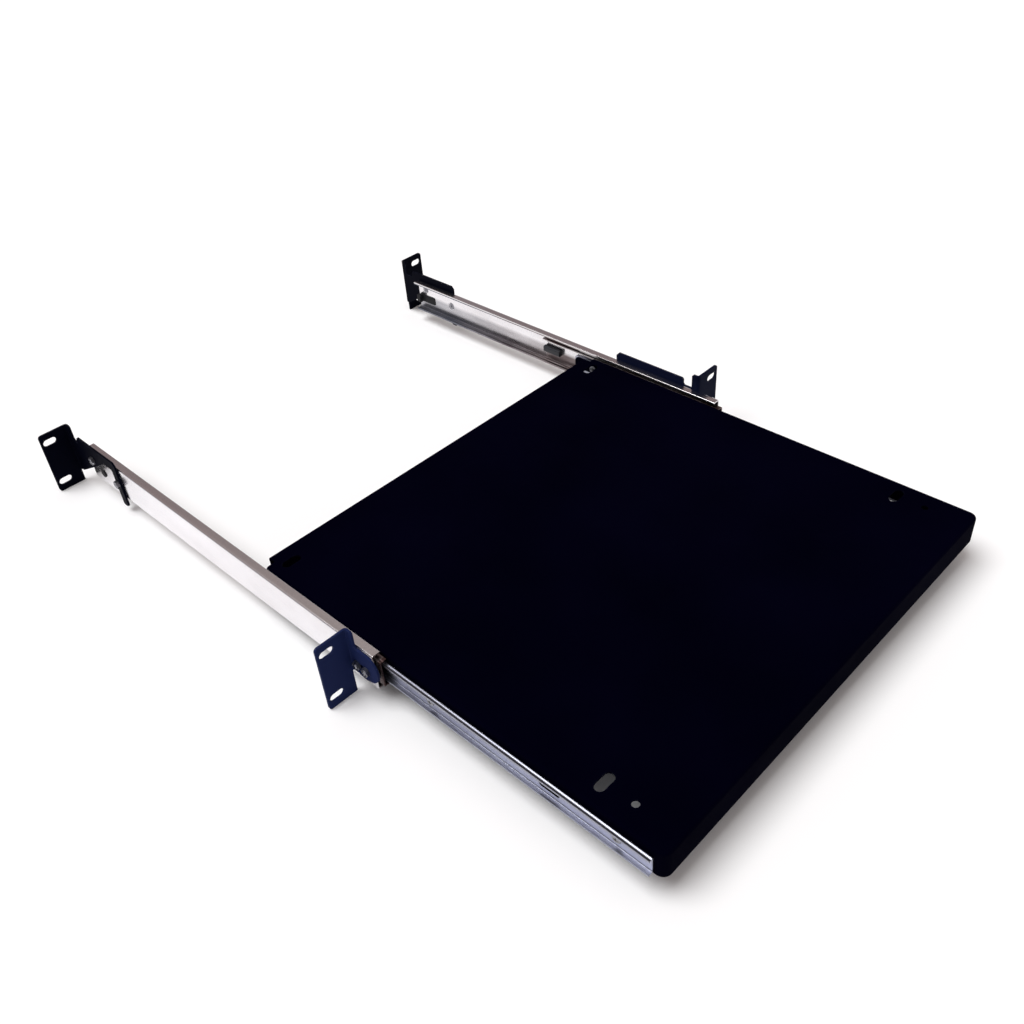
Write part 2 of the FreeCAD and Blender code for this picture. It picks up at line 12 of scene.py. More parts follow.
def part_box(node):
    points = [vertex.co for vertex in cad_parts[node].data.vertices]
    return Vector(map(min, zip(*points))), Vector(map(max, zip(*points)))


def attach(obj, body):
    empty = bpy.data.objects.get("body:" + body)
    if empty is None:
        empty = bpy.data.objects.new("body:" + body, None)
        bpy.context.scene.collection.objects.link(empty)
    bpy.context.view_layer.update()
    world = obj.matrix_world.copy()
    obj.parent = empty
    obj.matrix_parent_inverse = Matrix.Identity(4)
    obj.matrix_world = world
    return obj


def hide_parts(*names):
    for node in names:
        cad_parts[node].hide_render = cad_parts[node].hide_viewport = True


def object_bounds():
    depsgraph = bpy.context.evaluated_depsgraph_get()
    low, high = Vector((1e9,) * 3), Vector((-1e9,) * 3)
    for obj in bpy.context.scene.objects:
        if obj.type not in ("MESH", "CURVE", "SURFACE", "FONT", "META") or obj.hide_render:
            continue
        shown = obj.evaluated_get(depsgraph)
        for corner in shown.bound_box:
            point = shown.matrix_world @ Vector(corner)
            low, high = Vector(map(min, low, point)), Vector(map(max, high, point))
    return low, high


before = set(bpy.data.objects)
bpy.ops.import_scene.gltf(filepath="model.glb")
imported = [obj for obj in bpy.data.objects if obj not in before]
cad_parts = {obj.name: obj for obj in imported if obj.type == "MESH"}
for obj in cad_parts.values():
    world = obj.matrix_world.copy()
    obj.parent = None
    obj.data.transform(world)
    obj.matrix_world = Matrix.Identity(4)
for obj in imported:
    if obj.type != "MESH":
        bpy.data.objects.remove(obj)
CAD_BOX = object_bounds()

MM = 0.001
SIDES = ("left", "right")

# Camera: where it stands, where it looks and how long its lens is, in pixels of a square picture
CAMERA_PLACE = Vector((-0.4834, -0.4741, 0.5510))
CAMERA_AZIMUTH = math.radians(-43.08)
CAMERA_ELEVATION = math.radians(38.80)
CAMERA_ROLL = math.radians(5.08)
PICTURE_PIXELS = 1024
FOCAL_PIXELS = 1035.0
SENSOR_WIDTH = 36.0

# Studio: a white floor, a soft lamp above the rear left with a weak one at the front left, and a room in
# bands: for each, the sine of its height and its colour, from a pale horizon over dim warm walls to a
# paler ceiling
FLOOR_SIZE = 60.0
FLOOR_WHITE = (0.97, 0.97, 0.97)
FLOOR_MOTTLE = 0.01
KEY_FROM = Vector((-0.36, 0.22, 1.0))
KEY_STRENGTH = 2.4
KEY_ANGLE = math.radians(40)
KEY_COLOUR = (0.97, 0.985, 1.0)
FILL_FROM = Vector((-0.75, -0.55, 0.75))
FILL_STRENGTH = 0.12
FILL_ANGLE = math.radians(50)
FILL_COLOUR = (0.86, 0.93, 1.0)
ROOM_BANDS = (
    (0.00, (0.94, 0.95, 0.97)),
    (0.20, (0.70, 0.71, 0.74)),
    (0.48, (0.16, 0.112, 0.112)),
    (0.88, (0.50, 0.455, 0.43)),
)

# Screws: shank and thread, flat heads and the pockets that they lie in, domed heads, and driver recesses
SCREW_RADIUS = 2.0 * MM
THREAD_PITCH = 0.7 * MM
THREAD_DEPTH = 0.42 * MM
RUN_OUT_ROWS = 7
HEAD_RADIUS = 3.6 * MM
RIM = 0.25 * MM
FLAT_HEAD = 0.9 * MM
POCKET_RADIUS = 4.35 * MM
POCKET_DEPTH = 0.92 * MM
POCKET_MARGIN = 1.0 * MM
PAN_HEAD = 2.1 * MM
PAN_SIDE_SHARE = 0.35
PAN_CROWN_SHARE = 0.55
DOME_STEPS = 6
FLAT_RECESS = 0.62 * MM
PAN_RECESS = 1.3 * MM
RECESS_SPAN = 4.2 * MM
RECESS_ARM = 0.95 * MM
RECESS_TAPER = 0.45

# Nuts: hexagon nuts, and round press nuts whose collar is a share of their height and of their radius
NUT_FLATS = 7.0 * MM
NUT_SIDES = 6
NUT_CHAMFER = 0.35 * MM
BORE_CLEARANCE = 0.05 * MM
CLINCH_RADIUS = 3.8 * MM
CLINCH_TEETH = 24
CLINCH_GROOVE = 0.25 * MM
COLLAR_HEIGHT_SHARE = 0.45
COLLAR_SHARE = 0.78
COLLAR_LEAD_SHARE = 0.72

# How finely round forms are divided
ROUND_SEGMENTS = 48
THREAD_SEGMENTS = 24
BALL_DIVISIONS = 4

# Places of the screws as (y, z) in millimetres, and of the balls in a cage
REAR_SCREWS = ((338, 0), (380, 8))
BRACKET_SCREWS = {"left": ((-18, 0), (-8, 0)) + REAR_SCREWS, "right": ((30, 0), (78, 0)) + REAR_SCREWS}
TRAY_SCREWS = ((-242, 2), (-76, 2), (119, 2))
CAGE_BALLS = 3
BALL_PITCH = 28.0 * MM

# Grease in the ball races, darkened as painted shade of the channels, and painted shade in the lower half
# inside the
# rails: heights from the slide's middle, how far out from the shelf's middle, the run along the rail over
# which the grease and painted shade turn from brown to blue, and the painted shade on the front end of the
# middle rail
RACE_LOW = 11.3 * MM
RACE_HIGH = 15.7 * MM
RACE_REACH = 210.7 * MM
MASK_BLUR = 0.5 * MM
SHADE_TOP = 2.5 * MM
SHADE_DEEP = -2.0 * MM
SHADE_COVER = 0.95
PATCHY_COVER = 0.7
GREASE_AND_SHADE_BROWN_END = 200 * MM
GREASE_AND_SHADE_BLUE_END = 330 * MM
GREASE_AND_SHADE_BROWN = (0.085, 0.052, 0.05)
GREASE_AND_SHADE_BLUE = (0.065, 0.075, 0.105)
MIDDLE_RAIL_FRONT = -30.0 * MM
END_SHADE = 5.0 * MM
GREASE_AND_SHADE_DULLNESS = 0.15

# Bracket paint carries a painted bluish sheen at the left front, less at the right front, and none at the
# rear
SHEEN_FROM = 40 * MM
SHEEN_TO = 250 * MM
SHEEN_SIDE = 200 * MM
SHEEN_RIGHT = 0.25

# Gloss of paint where hands rub it, and how much its pebbles vary it
HANDLED_GLOSS = 0.12
PEBBLE_VARIATION = 0.03

# Zinc plate: how much scratches, spangle and clouds change it, and for the outer and middle rails its bright,
# dull and tinted colour and the range of its roughness
SCRATCH_BRIGHTNESS = 0.3
SPANGLE_TINT = 0.55
CLOUD_DULLNESS = 0.06
RAIL_ZINC = ((0.88, 0.86, 0.88), (0.77, 0.745, 0.76), (0.66, 0.68, 0.74), 0.13, 0.2)

# Eased edges of sheet and moulded pieces
SHEET_EASE = 0.22 * MM
RAIL_EASE = 0.12 * MM
MOULDED_EASE = 0.4 * MM
EASE_SEGMENTS = 2
EASE_ROUND = 0.5
SHARP_ANGLE = math.radians(32)
FLAT_ANGLE = math.radians(0.4)
WELD = 0.001 * MM

# Sockets of a node that mixes colours
MIX_FACTOR = 0
MIX_COLOURS = (6, 7)
MIX_RESULT = 2


class Surface:
    """A material and short ways to add the nodes that drive its shader."""

    def __init__(self, name, **constants):
        self.material = bpy.data.materials.new(name)
        self.material.use_nodes = True
        self.tree = self.material.node_tree
        self.shader = self.tree.nodes["Principled BSDF"]
        self.place = self.tree.nodes.new("ShaderNodeTexCoord").outputs["Object"]
        for socket, value in constants.items():
            self.shader.inputs[socket.replace("_", " ")].default_value = value

    def node(self, kind, links=(), **values):
        """New node with its input values set, and with outputs linked to its inputs."""
        made = self.tree.nodes.new(kind)
        for socket, value in values.items():
            made.inputs[socket.replace("_", " ")].default_value = value
        for socket, output in dict(links).items():
            self.tree.links.new(output, made.inputs[socket])
        return made

    def noise(self, scale, detail=3.0, stretch=(1, 1, 1)):
        """Noise with about so many bumps in a metre, drawn out where stretch is small."""
        mapping = self.node("ShaderNodeMapping", {"Vector": self.place}, Scale=stretch)
        links = {"Vector": mapping.outputs["Vector"]}
        return self.node("ShaderNodeTexNoise", links, Scale=scale, Detail=detail).outputs["Fac"]

    def remap(self, value, low, high, to_low, to_high):
        """A value moved from one range to another and kept inside it."""
        values = {"From_Min": low, "From_Max": high, "To_Min": to_low, "To_Max": to_high}
        return self.node("ShaderNodeMapRange", {"Value": value}, **values).outputs["Result"]

    def share(self, value, low, high):
        """How far a value is on its way from low to high, from 0 to 1."""
        return self.remap(value, low, high, 0, 1)

    def math(self, operation, *values):
        """Outputs or numbers put together by one operation."""
        made = self.tree.nodes.new("ShaderNodeMath")
        made.operation = operation
        for socket, value in zip(made.inputs, values):
            if isinstance(value, (int, float)):
                socket.default_value = value
            else:
                self.tree.links.new(value, socket)
        return made.outputs["Value"]

    def mix(self, factor, first, second):
        """Two colours mixed by a factor; each is three numbers or an output."""
        made = self.tree.nodes.new("ShaderNodeMix")
        made.data_type = "RGBA"
        self.tree.links.new(factor, made.inputs[MIX_FACTOR])
        for index, colour in zip(MIX_COLOURS, (first, second)):
            if isinstance(colour, tuple):
                made.inputs[index].default_value = (*colour, 1)
            else:
                self.tree.links.new(colour, made.inputs[index])
        return made.outputs[MIX_RESULT]

    def edges(self, radius, low, high):
        """1 on edges and corners, 0 on flat faces."""
        rounded = self.node("ShaderNodeBevel", Radius=radius)
        geometry = self.tree.nodes.new("ShaderNodeNewGeometry")
        turn = self.tree.nodes.new("ShaderNodeVectorMath")
        turn.operation = "DOT_PRODUCT"
        self.tree.links.new(rounded.outputs["Normal"], turn.inputs[0])
        self.tree.links.new(geometry.outputs["Normal"], turn.inputs[1])
        return self.remap(turn.outputs["Value"], low, high, 1, 0)

    def across(self, axis):
        """One coordinate of a place on the part."""
        return self.node("ShaderNodeSeparateXYZ", {"Vector": self.place}).outputs[axis]

    def beyond(self, value, edge, blur=MASK_BLUR):
        """1 where a value is above an edge, 0 below it."""
        return self.share(value, edge - blur, edge + blur)

    def short_of(self, value, edge, blur=MASK_BLUR):
        """1 where a value is below an edge, 0 above it."""
        return self.remap(value, edge - blur, edge + blur, 1, 0)

    def grease_and_shade(self):
        """1 in the greased ball races, darkened as painted shade, and in the painted shade of the lower half
        inside the rails, and 0 elsewhere.
        """
        height = self.math("ABSOLUTE", self.across("Z"))
        races = self.math("MULTIPLY", self.beyond(height, RACE_LOW), self.short_of(height, RACE_HIGH))
        # Painted shade: darker towards the bottom of the rails' inside, where the lower half of the channels
        # lies in shade
        lower_shade = self.remap(self.across("Z"), SHADE_DEEP, SHADE_TOP, SHADE_COVER, 0)
        greased_and_shaded = self.math("MAXIMUM", races, lower_shade)
        inside = self.short_of(self.math("ABSOLUTE", self.across("X")), RACE_REACH)
        patches = self.noise(60, detail=4, stretch=(1, 0.3, 1))
        patchy = self.remap(patches, 0.3, 0.6, PATCHY_COVER, 1)
        return self.math("MULTIPLY", self.math("MULTIPLY", greased_and_shaded, inside), patchy)

    def bump(self, height, distance, strength=1.0, below=None):
        """Normal of a surface raised by a height of 0 to 1 times a distance."""
        links = {"Height": height}
        if below is not None:
            links["Normal"] = below
        made = self.node("ShaderNodeBump", links, Distance=distance, Strength=strength)
        return made.outputs["Normal"]

    def use(self, socket, output):
        """Drive one of the shader's sockets."""
        self.tree.links.new(output, self.shader.inputs[socket])


def powder_coat(name, deep, pale, rubbed, roughness, painted_sheen=None, **constants):
    """Black baked paint: pebbled skin, faint clouds, handling marks, thin edges, perhaps a painted bluish
    sheen at the front.
    """
    paint = Surface(name, **constants)
    clouds = paint.noise(9, detail=5)
    patches = paint.noise(26, detail=4, stretch=(1, 0.25, 1))
    pebbles = paint.noise(1400, detail=2)
    orange_peel = paint.noise(330, detail=2)
    chipped = paint.share(paint.noise(160, detail=4), 0.42, 0.62)
    worn = paint.math("MULTIPLY", paint.edges(radius=0.6 * MM, low=0.8, high=0.99), chipped)
    colour = paint.mix(paint.share(clouds, 0.35, 0.7), deep, pale)
    if painted_sheen is not None:
        # Painted bluish sheen on the front brackets, strongest at the left
        rearward = paint.share(paint.across("Y"), SHEEN_FROM, SHEEN_TO)
        rightward = paint.remap(paint.across("X"), -SHEEN_SIDE, SHEEN_SIDE, 0, 1 - SHEEN_RIGHT)
        colour = paint.mix(paint.math("MAXIMUM", rearward, rightward), painted_sheen, colour)
    paint.use("Base Color", paint.mix(worn, colour, rubbed))
    handled = paint.remap(patches, 0.4, 0.75, roughness, roughness - HANDLED_GLOSS)
    pebbled = paint.remap(pebbles, 0.3, 0.7, -PEBBLE_VARIATION, PEBBLE_VARIATION)
    paint.use("Roughness", paint.math("ADD", handled, pebbled))
    skin = paint.bump(orange_peel, distance=0.10 * MM, strength=0.5)
    paint.use("Normal", paint.bump(pebbles, distance=0.05 * MM, strength=0.6, below=skin))
    return paint.material


def plated_steel(name, bright, dull, tinted, rough_low, rough_high, greased_and_shaded=False, greased_end=None):
    """Zinc plate on rolled strip: drawing lines, cloudy passivation and scratches, perhaps greased races and
    painted shade inside.
    """
    steel = Surface(name, Metallic=1.0)
    lines = steel.noise(1.0, detail=3, stretch=(2600, 22, 2600))
    clouds = steel.noise(34, detail=5, stretch=(1, 0.45, 1))
    spangle = steel.noise(420, detail=3)
    scratches = steel.noise(1.0, detail=2, stretch=(5200, 9, 5200))
    scratched = steel.share(scratches, 0.62, 0.7)
    colour = steel.mix(steel.share(clouds, 0.32, 0.68), bright, dull)
    colour = steel.mix(steel.remap(spangle, 0.5, 0.85, 0, SPANGLE_TINT), colour, tinted)
    colour = steel.mix(steel.math("MULTIPLY", scratched, SCRATCH_BRIGHTNESS), colour, bright)
    grain = steel.remap(lines, 0.3, 0.7, rough_low, rough_high)
    grain = steel.math("ADD", grain, steel.remap(clouds, 0.35, 0.75, 0, CLOUD_DULLNESS))
    # Grease in the races and painted shade in the lower half of the rails, brown at the front and blue at the
    # rear
    if greased_and_shaded:
        grease_and_shade = steel.grease_and_shade()
        if greased_end is not None:
            # Painted shadow on the end of the middle rail that reaches out in front of the outer rail
            front_shade = steel.short_of(steel.across("Y"), greased_end, END_SHADE / 2)
            grease_and_shade = steel.math("MAXIMUM", grease_and_shade, front_shade)
        along = steel.share(steel.across("Y"), GREASE_AND_SHADE_BROWN_END, GREASE_AND_SHADE_BLUE_END)
        colour = steel.mix(grease_and_shade, colour, steel.mix(along, GREASE_AND_SHADE_BROWN, GREASE_AND_SHADE_BLUE))
        grain = steel.math("ADD", grain, steel.math("MULTIPLY", grease_and_shade, GREASE_AND_SHADE_DULLNESS))
    steel.use("Base Color", colour)
    steel.use("Roughness", grain)
    drawn = steel.bump(lines, distance=0.012 * MM, strength=0.6)
    steel.use("Normal", steel.bump(scratches, distance=0.01 * MM, strength=0.5, below=drawn))
    return steel.material


def fastener_steel(name):
    """Bright zinc on turned screws and nuts, unevenly dull, and rubbed bright on the edges."""
    steel = Surface(name, Metallic=1.0)
    clouds = steel.noise(300, detail=4)
    specks = steel.noise(2200, detail=2)
    rubbed = steel.edges(radius=0.25 * MM, low=0.75, high=0.98)
    colour = steel.mix(steel.share(clouds, 0.35, 0.7), (0.30, 0.30, 0.33), (0.20, 0.20, 0.22))
    steel.use("Base Color", steel.mix(rubbed, colour, (0.55, 0.55, 0.58)))
    steel.use("Roughness", steel.remap(clouds, 0.3, 0.7, 0.2, 0.38))
    steel.use("Normal", steel.bump(specks, distance=0.01 * MM, strength=0.5))
    return steel.material


def ball_steel(name):
    """Polished bearing steel under a thin uneven film of grease."""
    steel = Surface(name, Metallic=1.0, Coat_Weight=0.3, Coat_Roughness=0.12)
    film = steel.noise(700, detail=4)
    filmed = steel.share(film, 0.4, 0.65)
    steel.use("Base Color", steel.mix(filmed, (0.72, 0.72, 0.73), (0.55, 0.53, 0.49)))
    steel.use("Roughness", steel.remap(film, 0.35, 0.7, 0.05, 0.22))
    steel.use("Normal", steel.bump(film, distance=0.004 * MM, strength=0.4))
    return steel.material


def rubber(name):
    """Moulded black rubber, dusty, with a fine matt skin."""
    skin = Surface(name, Specular_IOR_Level=0.3)
    dust = skin.noise(240, detail=5)
    grain = skin.noise(2600, detail=2)
    dusty = skin.share(dust, 0.45, 0.75)
    skin.use("Base Color", skin.mix(dusty, (0.006, 0.006, 0.008), (0.02, 0.019, 0.02)))
    skin.use("Roughness", skin.remap(dust, 0.3, 0.7, 0.62, 0.86))
    skin.use("Normal", skin.bump(grain, distance=0.03 * MM, strength=0.6))
    return skin.material


def moulded_plastic(name):
    """Dark moulded nylon with flow marks and a satin skin."""
    skin = Surface(name, Specular_IOR_Level=0.4)
    flow = skin.noise(120, detail=4, stretch=(1, 0.3, 1))
    grain = skin.noise(1900, detail=2)
    streaked = skin.share(flow, 0.35, 0.7)
    skin.use("Base Color", skin.mix(streaked, (0.003, 0.004, 0.008), (0.008, 0.009, 0.015)))
    skin.use("Roughness", skin.remap(flow, 0.3, 0.7, 0.38, 0.55))
    skin.use("Normal", skin.bump(grain, distance=0.02 * MM, strength=0.5))
    return skin.material


def floor_white(name):
    """White studio floor with a barely uneven skin."""
    skin = Surface(name, Specular_IOR_Level=0.0)
    mottle = skin.noise(3, detail=3)
    pale = tuple(value - FLOOR_MOTTLE for value in FLOOR_WHITE)
    skin.use("Base Color", skin.mix(mottle, FLOOR_WHITE, pale))
    skin.use("Roughness", skin.remap(mottle, 0.3, 0.7, 0.9, 1.0))
    skin.use("Normal", skin.bump(skin.noise(500, detail=2), distance=0.02 * MM, strength=0.2))
    return skin.material


def make_materials():
    """One finish for each material slot of the part, and two more kinds of zinc for the rails."""
    return {
        "tray_paint": powder_coat(
            "tray_paint", (0.0003, 0.0002, 0.0030), (0.0007, 0.0005, 0.0048), (0.010, 0.012, 0.022), 0.8,
            Specular_IOR_Level=0.005, Specular_Tint=(0.3, 0.4, 1.0, 1)),
        # The bracket paint's last colour is a painted bluish sheen on the front brackets
        "bracket_paint": powder_coat(
            "bracket_paint", (0.0005, 0.0005, 0.003), (0.001, 0.0011, 0.0045), (0.03, 0.034, 0.055), 0.6,
            painted_sheen=(0.0105, 0.0165, 0.062), Specular_IOR_Level=0.03, Specular_Tint=(0.4, 0.55, 1.0, 1)),
        # Rail zinc with grease in the races and painted shade in the lower half inside
        "rail_steel": plated_steel("rail_steel", *RAIL_ZINC, greased_and_shaded=True),
        # Rail zinc as above, with a painted shadow on the middle rail's front end
        "greased_steel": plated_steel(
            "greased_steel", *RAIL_ZINC, greased_and_shaded=True, greased_end=MIDDLE_RAIL_FRONT + END_SHADE),
        # Bluish zinc of the inner rails: the blue is the plating's, the darkness is painted shade of their
        # recessed webs
        "shaded_blued_steel": plated_steel(
            "shaded_blued_steel", (0.33, 0.34, 0.395), (0.275, 0.28, 0.34), (0.26, 0.27, 0.35), 0.26, 0.34),
        "cage_steel": plated_steel(
            "cage_steel", (0.60, 0.60, 0.61), (0.47, 0.46, 0.45), (0.50, 0.48, 0.42), 0.28, 0.42),
        "ball_steel": ball_steel("ball_steel"),
        "screw_steel": fastener_steel("screw_steel"),
        "bumper_rubber": rubber("bumper_rubber"),
        "stop_plastic": moulded_plastic("stop_plastic"),
    }


def lathe(profile, segments=ROUND_SEGMENTS, turn=0.5, ring=False):
    """Solid of revolution about X from (x, radius) points, closed on the axis or, as a ring, on itself.

    It starts a share of a segment round, so that a flat or a recess doesn't cut along its edges.
    """
    solid = bmesh.new()
    angles = [2 * math.pi * (index + turn) / segments for index in range(segments)]
    circles = []
    for x, radius in profile:
        around = angles if radius > 0 else angles[:1]
        circles.append([solid.verts.new((x, radius * math.cos(a), radius * math.sin(a))) for a in around])
    followers = circles[1:] + circles[:1] if ring else circles[1:]
    for circle, following in zip(circles, followers):
        for index in range(segments):
            after = (index + 1) % segments
            corners = [(circle, index), (circle, after), (following, after), (following, index)]
            solid.faces.new(dict.fromkeys(points[place % len(points)] for points, place in corners))
    bmesh.ops.recalc_face_normals(solid, faces=solid.faces)
    return solid


def thread(start, end):
    """Threaded rod along X: a true helix that runs out on the root at both ends."""
    rod = bmesh.new()
    root = SCREW_RADIUS - THREAD_DEPTH
    rows = 2 * math.ceil((end - start) / THREAD_PITCH) + RUN_OUT_ROWS
    columns = []
    for index in range(THREAD_SEGMENTS):
        angle = 2 * math.pi * index / THREAD_SEGMENTS
        column = []
        for row in range(rows):
            x = start + THREAD_PITCH * (row / 2 - 1 + index / THREAD_SEGMENTS)
            crest = row % 2 and start < x < end
            radius = SCREW_RADIUS if crest else root
            x = min(max(x, start), end)
            column.append(rod.verts.new((x, radius * math.cos(angle), radius * math.sin(angle))))
        columns.append(column)
    for index in range(THREAD_SEGMENTS):
        column = columns[index]
        last = index == THREAD_SEGMENTS - 1
        following = columns[0][2:] if last else columns[index + 1]
        for row in range(len(following) - 1):
            rod.faces.new((column[row], following[row], following[row + 1], column[row + 1]))
    bmesh.ops.remove_doubles(rod, verts=rod.verts, dist=WELD)
    bmesh.ops.dissolve_degenerate(rod, edges=rod.edges, dist=WELD)
    bmesh.ops.holes_fill(rod, edges=[edge for edge in rod.edges if edge.is_boundary])
    bmesh.ops.recalc_face_normals(rod, faces=rod.faces)
    return rod


def to_mesh(solid, name):
    """Mesh of a bmesh, which is freed."""
    mesh = bpy.data.meshes.new(name)
    solid.to_mesh(mesh)
    solid.free()
    return mesh


def combine(first, second, operation):
    """Mesh of what is left of one mesh outside or inside another."""
    target = bpy.data.objects.new("target", first)
    tool = bpy.data.objects.new("tool", second)
    for thing in (target, tool):
        bpy.context.scene.collection.objects.link(thing)
    change = target.modifiers.new("combine", "BOOLEAN")
    change.operation = operation
    change.solver = "EXACT"
    change.object = tool
    bpy.context.view_layer.update()
    result = bpy.data.meshes.new_from_object(target.evaluated_get(bpy.context.evaluated_depsgraph_get()))
    for thing in (target, tool):
        bpy.data.objects.remove(thing)
    return result


def recess(face_x, depth):
    """Cross-shaped driver recess that narrows from a head's face to its floor."""
    cutter = bmesh.new()
    way = 1 if depth > 0 else -1
    arm = RECESS_ARM / 2
    ends = []
    for x, scale in ((face_x - way * RIM, 1.0), (face_x + depth, RECESS_TAPER)):
        half = RECESS_SPAN / 2 * scale
        end = []
        for quarter in range(4):
            spin = Matrix.Rotation(quarter * math.pi / 2, 4, "X")
            for y, z in ((half, -arm), (half, arm), (arm, arm)):
                end.append(cutter.verts.new(spin @ Vector((x, y, z))))
        ends.append(end)
    cutter.faces.new(ends[0])
    cutter.faces.new(reversed(ends[1]))
    for index in range(len(ends[0])):
        before = index - 1
        cutter.faces.new((ends[0][before], ends[1][before], ends[1][index], ends[0][index]))
    bmesh.ops.recalc_face_normals(cutter, faces=cutter.faces)
    return to_mesh(cutter, "recess")


def flat_screw(length):
    """Flat-head screw along +X from its head's face at 0, with a cross recess and a threaded shank."""
    head = lathe([
        (0, 0), (0, HEAD_RADIUS - RIM), (RIM, HEAD_RADIUS), (FLAT_HEAD, HEAD_RADIUS), (FLAT_HEAD, 0),
    ])
    head = combine(to_mesh(head, "head"), recess(0, FLAT_RECESS), "DIFFERENCE")
    return [head, to_mesh(thread(FLAT_HEAD, length), "shank")]


def pan_screw(length):
    """Pan-head screw: domed head from 0 outwards along +X, and a threaded shank inwards."""
    crown = HEAD_RADIUS * PAN_CROWN_SHARE
    profile = [(0, 0), (0, HEAD_RADIUS), (PAN_HEAD * PAN_SIDE_SHARE, HEAD_RADIUS)]
    for step in range(1, DOME_STEPS):
        turn = math.pi / 2 * step / DOME_STEPS
        x = PAN_HEAD * (PAN_SIDE_SHARE + (1 - PAN_SIDE_SHARE) * math.sin(turn))
        profile.append((x, crown + (HEAD_RADIUS - crown) * math.cos(turn)))
    profile += [(PAN_HEAD, crown), (PAN_HEAD, 0)]
    head = combine(to_mesh(lathe(profile), "head"), recess(PAN_HEAD, -PAN_RECESS), "DIFFERENCE")
    return [head, to_mesh(thread(-length, 0), "shank")]


def bore_profile(height):
    """The inner side of a nut's section: its bore with a countersink at both ends."""
    radius = SCREW_RADIUS + BORE_CLEARANCE
    mouth = radius + NUT_CHAMFER
    return [(height, mouth), (height - NUT_CHAMFER, radius), (NUT_CHAMFER, radius), (0, mouth)]


def hexagon_nut(height):
    """Hexagon nut along +X with both faces turned to a chamfer."""
    corner = NUT_FLATS / math.sqrt(3)
    ends = (-RIM, height + RIM)
    hexagon = lathe([(ends[0], 0), (ends[0], corner), (ends[1], corner), (ends[1], 0)], NUT_SIDES, turn=0)
    flat = NUT_FLATS / 2
    wide = corner + RIM
    outside = [(0, flat), (NUT_CHAMFER, wide), (height - NUT_CHAMFER, wide), (height, flat)]
    turned = lathe(outside + bore_profile(height), ring=True)
    return [combine(to_mesh(hexagon, "hexagon"), to_mesh(turned, "turned"), "INTERSECT")]


def clinch_nut(height):
    """Round press nut along +X with a toothed rim below a plain collar."""
    collar = height * COLLAR_HEIGHT_SHARE
    collar_radius = CLINCH_RADIUS * COLLAR_SHARE
    outside = [
        (0, CLINCH_RADIUS * COLLAR_LEAD_SHARE), (RIM, collar_radius), (collar, collar_radius),
        (collar, CLINCH_RADIUS - RIM), (collar + RIM, CLINCH_RADIUS), (height, CLINCH_RADIUS),
    ]
    blank = lathe(outside + bore_profile(height), 2 * CLINCH_TEETH, turn=0, ring=True)
    for vertex in blank.verts:
        radius = math.hypot(vertex.co.y, vertex.co.z)
        tooth = round(math.atan2(vertex.co.z, vertex.co.y) / math.pi * CLINCH_TEETH) % 2
        if tooth and radius > CLINCH_RADIUS - 2 * RIM:
            vertex.co.yz *= 1 - CLINCH_GROOVE / radius
    return [to_mesh(blank, "blank")]


def polished_ball(radius):
    """One bearing ball."""
    ball = bmesh.new()
    bmesh.ops.create_icosphere(ball, subdivisions=BALL_DIVISIONS, radius=radius)
    return [to_mesh(ball, "ball")]


def show(name, mesh, body, slot, nodes, finish=None):
    """Make a piece of a mesh, smooth but for its sharp edges, in the place of CAD nodes on one body."""
    mesh.shade_smooth()
    mesh.set_sharp_from_angle(angle=SHARP_ANGLE)
    mesh.materials.clear()
    mesh.materials.append(MATERIALS[finish or slot])
    piece = bpy.data.objects.new(name, mesh)
    bpy.context.scene.collection.objects.link(piece)
    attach(piece, body)
    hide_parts(*nodes)
    return piece


def grouped(name, parts, places, side):
    """Copies of a small right-hand part at its places, mirrored for the left side, as one mesh."""
    group = bmesh.new()
    for place in places:
        for part in parts:
            before = len(group.verts)
            group.from_mesh(part)
            group.verts.ensure_lookup_table()
            bmesh.ops.translate(group, verts=group.verts[before:], vec=place)
    if side == "left":
        bmesh.ops.scale(group, verts=group.verts, vec=(-1, 1, 1))
        bmesh.ops.reverse_faces(group, faces=group.faces)
    return to_mesh(group, name)


def set_out(name, parts, places, side, body, slot, node):
    """Copies of a small part at its places, as one piece in the place of a CAD node."""
    show(name, grouped(name, parts, places, side), body, slot, [node])


def eased(node, width, body, slot, finish=None, cutter=None):
    """Copy of a CAD node with its sharp edges broken, as deburring and paint leave them, and perhaps cut."""
    solid = bmesh.new()
    solid.from_mesh(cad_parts[node].data)
    bmesh.ops.remove_doubles(solid, verts=solid.verts, dist=WELD)
    bmesh.ops.dissolve_limit(solid, angle_limit=FLAT_ANGLE, verts=solid.verts, edges=solid.edges)
    sharp = [edge for edge in solid.edges if edge.is_manifold and edge.calc_face_angle() > SHARP_ANGLE]
    bmesh.ops.bevel(
        solid, geom=sharp, offset=width, segments=EASE_SEGMENTS, profile=EASE_ROUND,
        affect="EDGES", clamp_overlap=True, offset_type="OFFSET")
    low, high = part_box(node)
    for vertex in solid.verts:
        vertex.co = [min(max(value, least), most) for value, least, most in zip(vertex.co, low, high)]
    bmesh.ops.dissolve_degenerate(solid, edges=solid.edges, dist=WELD)
    name = node + "_eased"
    mesh = to_mesh(solid, name)
    if cutter:
        mesh = combine(mesh, cutter, "DIFFERENCE")
    piece = show(name, mesh, body, slot, [node], finish)
    even = piece.modifiers.new("even shading of the flats", "WEIGHTED_NORMAL")
    even.keep_sharp = True


def near_face(node):
    """The right-hand X of a node's face that is nearer to the middle of the shelf."""
    low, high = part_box(node)
    return min(abs(low.x), abs(high.x))


def depth_across(node):
    """How far a node reaches along X."""
    low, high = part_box(node)
    return high.x - low.x


def at_places(x, places):
    """Places on a rail as points, from (y, z) in millimetres."""
    return [Vector((x, y * MM, z * MM)) for y, z in places]


